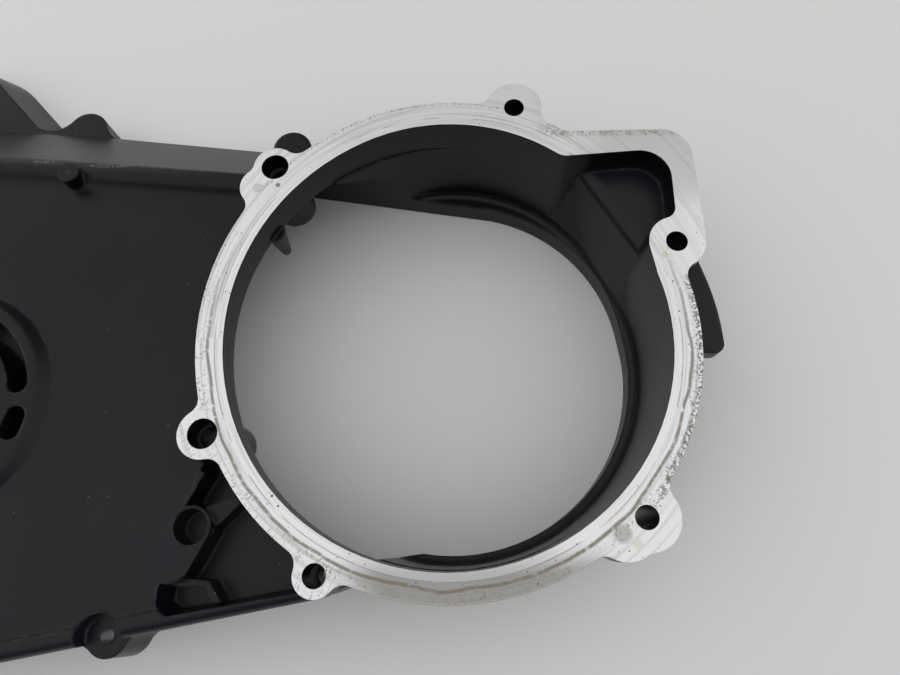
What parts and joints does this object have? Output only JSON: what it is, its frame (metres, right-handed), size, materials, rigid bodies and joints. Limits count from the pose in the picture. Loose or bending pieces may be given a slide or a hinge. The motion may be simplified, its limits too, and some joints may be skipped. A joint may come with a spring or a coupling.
{
  "type": "inner primary cover",
  "caption": "Cast inner primary cover of a motorcycle with a machined crank opening, tray, clutch hub and screw lobes.",
  "frame": {"origin": "crank axis where it meets the outboard gasket face", "axes": "+X forward along the engine, +Y up on the engine, +Z inboard along the crank axis, out of the crankcase face"},
  "size_m": [0.5536, 0.3735, 0.082],
  "materials": {
    "casting": "satin black coating on die-cast aluminium, bare machined flange face"
  },
  "bodies": {
    "root": {"inner_primary_cover": "casting"}
  },
  "joints": []
}
